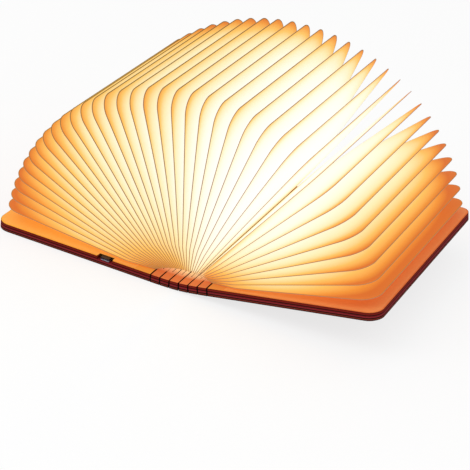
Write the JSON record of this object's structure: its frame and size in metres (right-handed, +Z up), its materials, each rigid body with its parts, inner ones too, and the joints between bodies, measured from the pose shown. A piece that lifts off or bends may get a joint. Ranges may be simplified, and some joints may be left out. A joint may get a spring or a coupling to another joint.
{
  "type": "folding book lamp",
  "caption": "Book-shaped lamp: two laminated wooden covers on a slit-cut bending spine, with a fan of lit paper leaves that opens and shuts with the covers.",
  "frame": {"origin": "middle of the open lamp on the surface it lies on, level with the left cover's underside", "axes": "+X from the left cover to the right cover, +Y along the spine away from the charging socket, +Z up"},
  "size_m": [0.3418, 0.215, 0.1668],
  "materials": {
    "outer_wood": "dark red-brown laminated plywood, satin oiled",
    "inner_wood": "dark red-brown laminated plywood, satin oiled",
    "spine_wood": "dark red-brown laminated plywood, satin oiled",
    "leaf_paper": "translucent spun-bonded paper, lit from inside",
    "liner_paper": "translucent paper glued flat",
    "pouch": "matt laminated foil",
    "circuit": "solder mask on glass-filled board",
    "socket_steel": "stamped and tin-plated",
    "black_plastic": "moulded",
    "light_board": "white solder mask with clear-domed chips",
    "magnet": "nickel-plated"
  },
  "bodies": {
    "left_cover": {"left_outer_board": "outer_wood", "left_inner_board": "inner_wood", "left_liner": "liner_paper", "battery": "pouch", "circuit_board": "circuit", "usb_socket": "socket_steel", "magnetic_switch": "black_plastic", "light_board": "light_board", "left_magnet_near": "magnet", "left_magnet_far": "magnet"},
    "right_cover": {"right_outer_board": "outer_wood", "right_inner_board": "inner_wood", "right_liner": "liner_paper", "right_magnet_near": "magnet", "right_magnet_far": "magnet", "switch_magnet": "magnet"},
    "slat_1": {"slat_1": "spine_wood"},
    "slat_2": {"slat_2": "spine_wood"},
    "slat_3": {"slat_3": "spine_wood"},
    "slat_4": {"slat_4": "spine_wood"},
    "slat_5": {"slat_5": "spine_wood"},
    "slat_6": {"slat_6": "spine_wood"},
    "leaf_1": {"leaf_1": "leaf_paper"},
    "leaf_2": {"leaf_2": "leaf_paper"},
    "leaf_3": {"leaf_3": "leaf_paper"},
    "leaf_4": {"leaf_4": "leaf_paper"},
    "leaf_5": {"leaf_5": "leaf_paper"},
    "leaf_6": {"leaf_6": "leaf_paper"},
    "leaf_7": {"leaf_7": "leaf_paper"},
    "leaf_8": {"leaf_8": "leaf_paper"},
    "leaf_9": {"leaf_9": "leaf_paper"},
    "leaf_10": {"leaf_10": "leaf_paper"},
    "leaf_11": {"leaf_11": "leaf_paper"},
    "leaf_12": {"leaf_12": "leaf_paper"},
    "leaf_13": {"leaf_13": "leaf_paper"},
    "leaf_14": {"leaf_14": "leaf_paper"},
    "leaf_15": {"leaf_15": "leaf_paper"},
    "leaf_16": {"leaf_16": "leaf_paper"},
    "leaf_17": {"leaf_17": "leaf_paper"},
    "leaf_18": {"leaf_18": "leaf_paper"},
    "leaf_19": {"leaf_19": "leaf_paper"},
    "leaf_20": {"leaf_20": "leaf_paper"},
    "leaf_21": {"leaf_21": "leaf_paper"},
    "leaf_22": {"leaf_22": "leaf_paper"},
    "leaf_23": {"leaf_23": "leaf_paper"},
    "leaf_24": {"leaf_24": "leaf_paper"},
    "leaf_25": {"leaf_25": "leaf_paper"},
    "leaf_26": {"leaf_26": "leaf_paper"},
    "leaf_27": {"leaf_27": "leaf_paper"},
    "leaf_28": {"leaf_28": "leaf_paper"},
    "leaf_29": {"leaf_29": "leaf_paper"},
    "leaf_30": {"leaf_30": "leaf_paper"},
    "leaf_31": {"leaf_31": "leaf_paper"},
    "leaf_32": {"leaf_32": "leaf_paper"},
    "leaf_33": {"leaf_33": "leaf_paper"},
    "leaf_34": {"leaf_34": "leaf_paper"},
    "leaf_35": {"leaf_35": "leaf_paper"},
    "leaf_36": {"leaf_36": "leaf_paper"},
    "leaf_37": {"leaf_37": "leaf_paper"}
  },
  "joints": [
    {"name": "left_half_turn", "type": "hinge", "parent": "left_cover", "child": "leaf_19", "pos_m": [-0.01051, 0, 0.00589], "axis": [0, -1, 0], "range_deg": [-5.24, 80.44]},
    {"name": "right_half_turn", "type": "hinge", "parent": "leaf_19", "child": "right_cover", "pos_m": [0.01184, 0, 0.00943], "axis": [0, -1, 0], "range_deg": [-5.77, 88.57]},
    {"name": "fold_1", "type": "hinge", "parent": "left_cover", "child": "slat_1", "pos_m": [-0.02425, 0, 0.006], "axis": [0, -1, 0], "range_deg": [-0.49, 7.54]},
    {"name": "fold_2", "type": "hinge", "parent": "slat_1", "child": "slat_2", "pos_m": [-0.01585, 0, 0.00607], "axis": [0, -1, 0], "range_deg": [-0.92, 14.16]},
    {"name": "fold_3", "type": "hinge", "parent": "slat_2", "child": "slat_3", "pos_m": [-0.00746, 0, 0.00628], "axis": [0, -1, 0], "range_deg": [-2.4, 36.8]},
    {"name": "fold_7", "type": "hinge", "parent": "right_cover", "child": "slat_6", "pos_m": [0.0258, 0, 0.01082], "axis": [0, -1, 0], "range_deg": [-7.54, 0.49]},
    {"name": "fold_6", "type": "hinge", "parent": "slat_6", "child": "slat_5", "pos_m": [0.01754, 0, 0.00929], "axis": [0, -1, 0], "range_deg": [-14.16, 0.92]},
    {"name": "fold_5", "type": "hinge", "parent": "slat_5", "child": "slat_4", "pos_m": [0.00926, 0, 0.00789], "axis": [0, -1, 0], "range_deg": [-36.8, 2.4]},
    {"name": "leaf_1_turn", "type": "hinge", "parent": "left_cover", "child": "leaf_1", "pos_m": [-0.02164, 0, 0.01158], "axis": [0, -1, 0], "range_deg": [-0.33, 5]},
    {"name": "leaf_2_turn", "type": "hinge", "parent": "left_cover", "child": "leaf_2", "pos_m": [-0.02111, 0, 0.00614], "axis": [0, -1, 0], "range_deg": [-0.58, 8.94]},
    {"name": "leaf_3_turn", "type": "hinge", "parent": "left_cover", "child": "leaf_3", "pos_m": [-0.02046, 0, 0.00424], "axis": [0, -1, 0], "range_deg": [-0.84, 12.91]},
    {"name": "leaf_4_turn", "type": "hinge", "parent": "left_cover", "child": "leaf_4", "pos_m": [-0.01978, 0, 0.0034], "axis": [0, -1, 0], "range_deg": [-1.1, 16.9]},
    {"name": "leaf_5_turn", "type": "hinge", "parent": "left_cover", "child": "leaf_5", "pos_m": [-0.0191, 0, 0.003], "axis": [0, -1, 0], "range_deg": [-1.36, 20.93]},
    {"name": "leaf_6_turn", "type": "hinge", "parent": "left_cover", "child": "leaf_6", "pos_m": [-0.01842, 0, 0.00285], "axis": [0, -1, 0], "range_deg": [-1.63, 24.99]},
    {"name": "leaf_7_turn", "type": "hinge", "parent": "left_cover", "child": "leaf_7", "pos_m": [-0.01775, 0, 0.00283], "axis": [0, -1, 0], "range_deg": [-1.89, 29.08]},
    {"name": "leaf_8_turn", "type": "hinge", "parent": "left_cover", "child": "leaf_8", "pos_m": [-0.0171, 0, 0.00291], "axis": [0, -1, 0], "range_deg": [-2.16, 33.19]},
    {"name": "leaf_9_turn", "type": "hinge", "parent": "left_cover", "child": "leaf_9", "pos_m": [-0.01645, 0, 0.00304], "axis": [0, -1, 0], "range_deg": [-2.43, 37.34]},
    {"name": "leaf_10_turn", "type": "hinge", "parent": "left_cover", "child": "leaf_10", "pos_m": [-0.01582, 0, 0.00322], "axis": [0, -1, 0], "range_deg": [-2.7, 41.51]},
    {"name": "leaf_11_turn", "type": "hinge", "parent": "left_cover", "child": "leaf_11", "pos_m": [-0.01519, 0, 0.00343], "axis": [0, -1, 0], "range_deg": [-2.98, 45.72]},
    {"name": "leaf_12_turn", "type": "hinge", "parent": "left_cover", "child": "leaf_12", "pos_m": [-0.01457, 0, 0.00367], "axis": [0, -1, 0], "range_deg": [-3.25, 49.96]},
    {"name": "leaf_13_turn", "type": "hinge", "parent": "left_cover", "child": "leaf_13", "pos_m": [-0.01397, 0, 0.00393], "axis": [0, -1, 0], "range_deg": [-3.53, 54.22]},
    {"name": "leaf_14_turn", "type": "hinge", "parent": "left_cover", "child": "leaf_14", "pos_m": [-0.01337, 0, 0.00421], "axis": [0, -1, 0], "range_deg": [-3.81, 58.52]},
    {"name": "leaf_15_turn", "type": "hinge", "parent": "left_cover", "child": "leaf_15", "pos_m": [-0.01278, 0, 0.00451], "axis": [0, -1, 0], "range_deg": [-4.09, 62.84]},
    {"name": "leaf_16_turn", "type": "hinge", "parent": "left_cover", "child": "leaf_16", "pos_m": [-0.0122, 0, 0.00483], "axis": [0, -1, 0], "range_deg": [-4.37, 67.19]},
    {"name": "leaf_17_turn", "type": "hinge", "parent": "left_cover", "child": "leaf_17", "pos_m": [-0.01163, 0, 0.00517], "axis": [0, -1, 0], "range_deg": [-4.66, 71.58]},
    {"name": "leaf_18_turn", "type": "hinge", "parent": "left_cover", "child": "leaf_18", "pos_m": [-0.01107, 0, 0.00552], "axis": [0, -1, 0], "range_deg": [-4.95, 75.99]},
    {"name": "leaf_20_turn", "type": "hinge", "parent": "right_cover", "child": "leaf_20", "pos_m": [0.01248, 0, 0.00919], "axis": [0, -1, 0], "range_deg": [-84.09, 5.47]},
    {"name": "leaf_21_turn", "type": "hinge", "parent": "right_cover", "child": "leaf_21", "pos_m": [0.01312, 0, 0.00896], "axis": [0, -1, 0], "range_deg": [-79.59, 5.18]},
    {"name": "leaf_22_turn", "type": "hinge", "parent": "right_cover", "child": "leaf_22", "pos_m": [0.01377, 0, 0.00875], "axis": [0, -1, 0], "range_deg": [-75.06, 4.89]},
    {"name": "leaf_23_turn", "type": "hinge", "parent": "right_cover", "child": "leaf_23", "pos_m": [0.01442, 0, 0.00854], "axis": [0, -1, 0], "range_deg": [-70.49, 4.59]},
    {"name": "leaf_24_turn", "type": "hinge", "parent": "right_cover", "child": "leaf_24", "pos_m": [0.01508, 0, 0.00835], "axis": [0, -1, 0], "range_deg": [-65.9, 4.29]},
    {"name": "leaf_25_turn", "type": "hinge", "parent": "right_cover", "child": "leaf_25", "pos_m": [0.01575, 0, 0.00817], "axis": [0, -1, 0], "range_deg": [-61.28, 3.99]},
    {"name": "leaf_26_turn", "type": "hinge", "parent": "right_cover", "child": "leaf_26", "pos_m": [0.01643, 0, 0.00801], "axis": [0, -1, 0], "range_deg": [-56.63, 3.69]},
    {"name": "leaf_27_turn", "type": "hinge", "parent": "right_cover", "child": "leaf_27", "pos_m": [0.01711, 0, 0.00786], "axis": [0, -1, 0], "range_deg": [-51.95, 3.38]},
    {"name": "leaf_28_turn", "type": "hinge", "parent": "right_cover", "child": "leaf_28", "pos_m": [0.01781, 0, 0.00773], "axis": [0, -1, 0], "range_deg": [-47.24, 3.08]},
    {"name": "leaf_29_turn", "type": "hinge", "parent": "right_cover", "child": "leaf_29", "pos_m": [0.0185, 0, 0.00762], "axis": [0, -1, 0], "range_deg": [-42.5, 2.77]},
    {"name": "leaf_30_turn", "type": "hinge", "parent": "right_cover", "child": "leaf_30", "pos_m": [0.01921, 0, 0.00754], "axis": [0, -1, 0], "range_deg": [-37.73, 2.46]},
    {"name": "leaf_31_turn", "type": "hinge", "parent": "right_cover", "child": "leaf_31", "pos_m": [0.01991, 0, 0.00749], "axis": [0, -1, 0], "range_deg": [-32.93, 2.14]},
    {"name": "leaf_32_turn", "type": "hinge", "parent": "right_cover", "child": "leaf_32", "pos_m": [0.02061, 0, 0.00751], "axis": [0, -1, 0], "range_deg": [-28.1, 1.83]},
    {"name": "leaf_33_turn", "type": "hinge", "parent": "right_cover", "child": "leaf_33", "pos_m": [0.02129, 0, 0.00762], "axis": [0, -1, 0], "range_deg": [-23.24, 1.51]},
    {"name": "leaf_34_turn", "type": "hinge", "parent": "right_cover", "child": "leaf_34", "pos_m": [0.02192, 0, 0.00791], "axis": [0, -1, 0], "range_deg": [-18.35, 1.19]},
    {"name": "leaf_35_turn", "type": "hinge", "parent": "right_cover", "child": "leaf_35", "pos_m": [0.02244, 0, 0.00856], "axis": [0, -1, 0], "range_deg": [-13.43, 0.87]},
    {"name": "leaf_36_turn", "type": "hinge", "parent": "right_cover", "child": "leaf_36", "pos_m": [0.0226, 0, 0.01022], "axis": [0, -1, 0], "range_deg": [-8.48, 0.55]},
    {"name": "leaf_37_turn", "type": "hinge", "parent": "right_cover", "child": "leaf_37", "pos_m": [0.02083, 0, 0.01723], "axis": [0, -1, 0], "range_deg": [-3.5, 0.23]}
  ],
  "couplings": [
    {"joint": "right_half_turn", "follows": "left_half_turn", "ratio": 1.1011},
    {"joint": "fold_1", "follows": "left_half_turn", "ratio": 0.093714},
    {"joint": "fold_2", "follows": "left_half_turn", "ratio": 0.17609},
    {"joint": "fold_3", "follows": "left_half_turn", "ratio": 0.45749},
    {"joint": "fold_7", "follows": "left_half_turn", "ratio": -0.093714},
    {"joint": "fold_6", "follows": "left_half_turn", "ratio": -0.17609},
    {"joint": "fold_5", "follows": "left_half_turn", "ratio": -0.45749},
    {"joint": "leaf_1_turn", "follows": "left_half_turn", "ratio": 0.062162},
    {"joint": "leaf_2_turn", "follows": "left_half_turn", "ratio": 0.11112},
    {"joint": "leaf_3_turn", "follows": "left_half_turn", "ratio": 0.16045},
    {"joint": "leaf_4_turn", "follows": "left_half_turn", "ratio": 0.21015},
    {"joint": "leaf_5_turn", "follows": "left_half_turn", "ratio": 0.26022},
    {"joint": "leaf_6_turn", "follows": "left_half_turn", "ratio": 0.31066},
    {"joint": "leaf_7_turn", "follows": "left_half_turn", "ratio": 0.36147},
    {"joint": "leaf_8_turn", "follows": "left_half_turn", "ratio": 0.41265},
    {"joint": "leaf_9_turn", "follows": "left_half_turn", "ratio": 0.4642},
    {"joint": "leaf_10_turn", "follows": "left_half_turn", "ratio": 0.51612},
    {"joint": "leaf_11_turn", "follows": "left_half_turn", "ratio": 0.5684},
    {"joint": "leaf_12_turn", "follows": "left_half_turn", "ratio": 0.62106},
    {"joint": "leaf_13_turn", "follows": "left_half_turn", "ratio": 0.67408},
    {"joint": "leaf_14_turn", "follows": "left_half_turn", "ratio": 0.72748},
    {"joint": "leaf_15_turn", "follows": "left_half_turn", "ratio": 0.78125},
    {"joint": "leaf_16_turn", "follows": "left_half_turn", "ratio": 0.83538},
    {"joint": "leaf_17_turn", "follows": "left_half_turn", "ratio": 0.88988},
    {"joint": "leaf_18_turn", "follows": "left_half_turn", "ratio": 0.94476},
    {"joint": "leaf_20_turn", "follows": "left_half_turn", "ratio": -1.0455},
    {"joint": "leaf_21_turn", "follows": "left_half_turn", "ratio": -0.98948},
    {"joint": "leaf_22_turn", "follows": "left_half_turn", "ratio": -0.93313},
    {"joint": "leaf_23_turn", "follows": "left_half_turn", "ratio": -0.87641},
    {"joint": "leaf_24_turn", "follows": "left_half_turn", "ratio": -0.81932},
    {"joint": "leaf_25_turn", "follows": "left_half_turn", "ratio": -0.76186},
    {"joint": "leaf_26_turn", "follows": "left_half_turn", "ratio": -0.70403},
    {"joint": "leaf_27_turn", "follows": "left_half_turn", "ratio": -0.64583},
    {"joint": "leaf_28_turn", "follows": "left_half_turn", "ratio": -0.58726},
    {"joint": "leaf_29_turn", "follows": "left_half_turn", "ratio": -0.52832},
    {"joint": "leaf_30_turn", "follows": "left_half_turn", "ratio": -0.46901},
    {"joint": "leaf_31_turn", "follows": "left_half_turn", "ratio": -0.40934},
    {"joint": "leaf_32_turn", "follows": "left_half_turn", "ratio": -0.34929},
    {"joint": "leaf_33_turn", "follows": "left_half_turn", "ratio": -0.28887},
    {"joint": "leaf_34_turn", "follows": "left_half_turn", "ratio": -0.22809},
    {"joint": "leaf_35_turn", "follows": "left_half_turn", "ratio": -0.16693},
    {"joint": "leaf_36_turn", "follows": "left_half_turn", "ratio": -0.10541},
    {"joint": "leaf_37_turn", "follows": "left_half_turn", "ratio": -0.043513}
  ]
}
